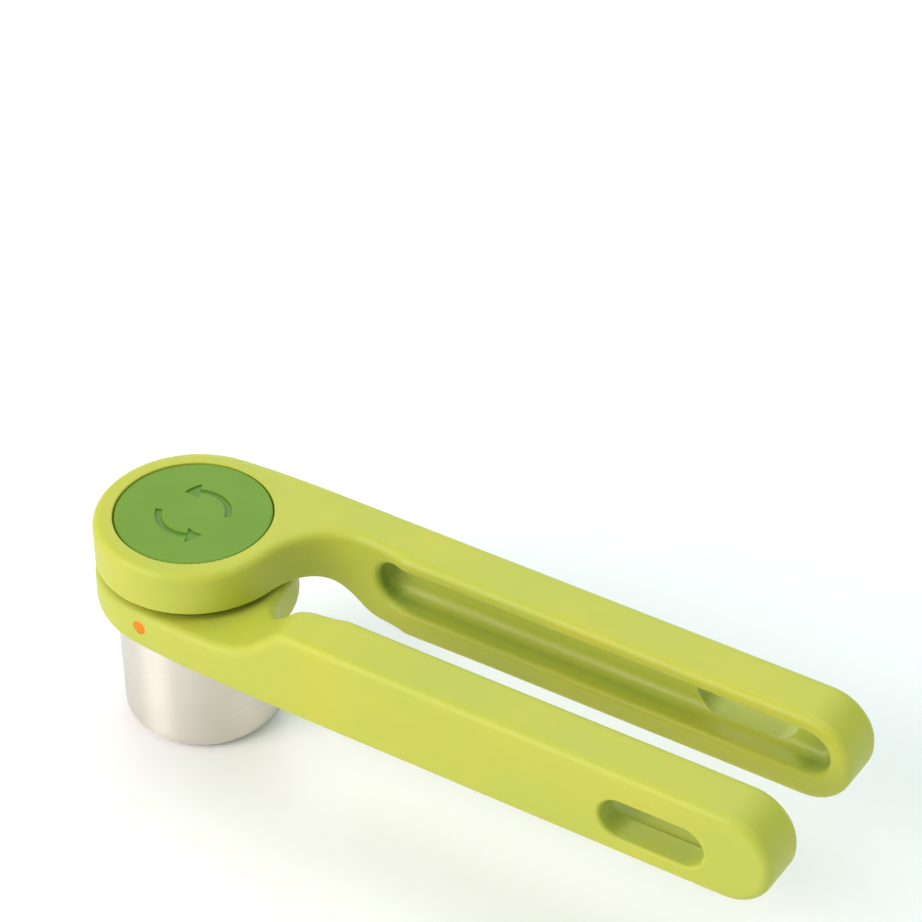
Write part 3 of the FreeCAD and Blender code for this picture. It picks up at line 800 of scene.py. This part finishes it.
class PRESS_OT_stage(bpy.types.Operator):
    """Set up the pale floor, the soft lamps and the camera"""

    bl_idname = "press.stage"
    bl_label = "Stage"

    floor_radius = 2.2
    floor_rises = ((0.05, 1.14), (0.14, 1.1), (0.24, 1.06), (0.32, 1.02))
    aim = (0.06, 0, 0.03)
    # name, place, width and height, power setting, colour
    soft_lamps = (
        ("key", (-0.56, -1.0, 0.7), (0.8, 0.8), "key", (1, 0.865, 0.84)),
        ("top", (0.25, 0.2, 1.25), (1.3, 1.3), "top", (1, 0.97, 0.96)),
        ("back", (-0.3, 0.9, 0.88), (0.5, 0.4), "back", (0.94, 1, 1)),
        ("rim", (-0.55, 0.75, 0.35), (0.25, 0.7), "rim", (1, 1, 1)),
        ("front_strip", (0.22, -1.05, 0.5), (0.07, 0.8), "strip", (1, 1, 1)),
        ("side_strip", (-1.05, -0.36, 0.5), (0.2, 0.8), "strip", (1, 1, 1)),
        ("right_card", (1.1, -0.1, 0.35), (0.6, 0.5), "card", (1, 0.96, 0.9)),
    )
    ambient_colour = (0.70, 1, 0.90, 1)
    backdrop_colour = (0.94, 0.945, 0.945, 1)
    camera_place = (0.42839, -0.54720, 0.60523)
    camera_turn = (33.04, 37.736, -0.951)
    camera_lens = 152.44

    def execute(self, context):
        studio = context.scene.press_studio
        self.floor(studio)
        self.lamps(context, studio)
        self.camera(context)
        return {"FINISHED"}

    def floor(self, studio):
        """A flat round floor that curves up far behind."""
        nothing_selected()
        bpy.ops.mesh.primitive_circle_add(vertices=96, radius=self.floor_radius, fill_type="NGON")
        floor = added("studio_floor")
        bpy.ops.object.mode_set(mode="EDIT")
        bpy.ops.mesh.select_mode(type="EDGE")
        for rise, spread in self.floor_rises:
            pick("EDGE", self.outermost)
            bpy.ops.mesh.extrude_edges_move(TRANSFORM_OT_translate={"value": (0, 0, rise)})
            bpy.ops.transform.resize(value=(spread, spread, 1), center_override=(0, 0, 0))
        bpy.ops.mesh.select_all(action="SELECT")
        bpy.ops.mesh.flip_normals()
        bpy.ops.object.mode_set(mode="OBJECT")
        bpy.ops.object.shade_smooth()
        floor.data.materials.append(studio_floor("studio_floor", studio.floor))

    def outermost(self, corners):
        """Whether an edge lies along the floor's outer rim."""
        mesh = bmesh.from_edit_mesh(bpy.context.edit_object.data)
        reach = max(corner.co.xy.length for corner in mesh.verts)
        return all(c.xy.length > reach - 0.001 for c in corners)

    def lamps(self, context, studio):
        """The soft lamps, and even light all round."""
        for name, place, size, setting, colour in self.soft_lamps:
            soft_lamp(name, place, self.aim, size, getattr(studio, setting), colour)
        world = bpy.data.worlds.new("studio")
        world.use_nodes = True
        self.backdrop(world.node_tree, studio)
        context.scene.world = world
        context.scene.view_settings.view_transform = "Standard"
        context.scene.view_settings.look = "None"

    def backdrop(self, tree, studio):
        """Cool light from all round, behind which a camera sees plain white."""
        light = tree.nodes["Background"]
        light.inputs["Color"].default_value = self.ambient_colour
        light.inputs["Strength"].default_value = studio.ambient
        seen = tree.nodes.new("ShaderNodeBackground")
        seen.inputs["Color"].default_value = self.backdrop_colour
        either = tree.nodes.new("ShaderNodeMixShader")
        rays = tree.nodes.new("ShaderNodeLightPath")
        tree.links.new(rays.outputs["Is Camera Ray"], either.inputs[0])
        tree.links.new(light.outputs[0], either.inputs[1])
        tree.links.new(seen.outputs[0], either.inputs[2])
        tree.links.new(either.outputs[0], tree.nodes["World Output"].inputs[0])

    def camera(self, context):
        """The camera above the front right, looking down along the handles."""
        data = bpy.data.cameras.new("camera")
        data.sensor_width = 36
        data.lens = self.camera_lens
        data.clip_start = 0.02
        data.clip_end = 20
        camera = bpy.data.objects.new("camera", data)
        context.scene.collection.objects.link(camera)
        azimuth, elevation, roll = (math.radians(angle) for angle in self.camera_turn)
        level = Vector((math.cos(azimuth), math.sin(azimuth), 0))
        toward = Vector((math.sin(azimuth), -math.cos(azimuth), 0))
        back = toward * math.cos(elevation) + Z_AXIS * math.sin(elevation)
        up = back.cross(level)
        right = level * math.cos(roll) + up * math.sin(roll)
        true_up = up * math.cos(roll) - level * math.sin(roll)
        turn = Matrix((right, true_up, back)).transposed().to_4x4()
        camera.matrix_world = Matrix.Translation(self.camera_place) @ turn
        context.scene.camera = camera


# ---------------------------------------------------------------- panel and run

PIECES = (
    PRESS_OT_arms,
    PRESS_OT_basket,
    PRESS_OT_works,
    PRESS_OT_cap,
    PRESS_OT_dots,
    PRESS_OT_witness_line,
    PRESS_OT_stage,
)
SETTINGS = {
    "press_finish": PressFinishSettings,
    "press_detail": PressDetailSettings,
    "press_studio": PressStudioSettings,
}


class PRESS_PT_panel(bpy.types.Panel):
    """Lists the press's pieces and its stage"""

    bl_idname = "PRESS_PT_panel"
    bl_label = "Garlic press"
    bl_space_type = "VIEW_3D"
    bl_region_type = "UI"
    bl_category = "Garlic press"

    def draw(self, context):
        for name in SETTINGS:
            column = self.layout.column(heading=name)
            group = getattr(context.scene, name)
            for field in SETTINGS[name].__annotations__:
                column.prop(group, field)
        for piece in PIECES:
            self.layout.operator(piece.bl_idname)


def register():
    for group in SETTINGS.values():
        bpy.utils.register_class(group)
    for name, group in SETTINGS.items():
        setattr(bpy.types.Scene, name, bpy.props.PointerProperty(type=group))
    for piece in PIECES:
        bpy.utils.register_class(piece)
    bpy.utils.register_class(PRESS_PT_panel)


def unregister():
    bpy.utils.unregister_class(PRESS_PT_panel)
    for piece in reversed(PIECES):
        bpy.utils.unregister_class(piece)
    for name in SETTINGS:
        delattr(bpy.types.Scene, name)
    for group in SETTINGS.values():
        bpy.utils.unregister_class(group)


def main():
    """Builds the press and its studio."""
    register()
    bpy.ops.press.arms()
    bpy.ops.press.basket()
    bpy.ops.press.works()
    bpy.ops.press.cap()
    bpy.ops.press.dots()
    bpy.ops.press.witness_line()
    bpy.ops.press.stage()


if __name__ == "__main__":
    main()
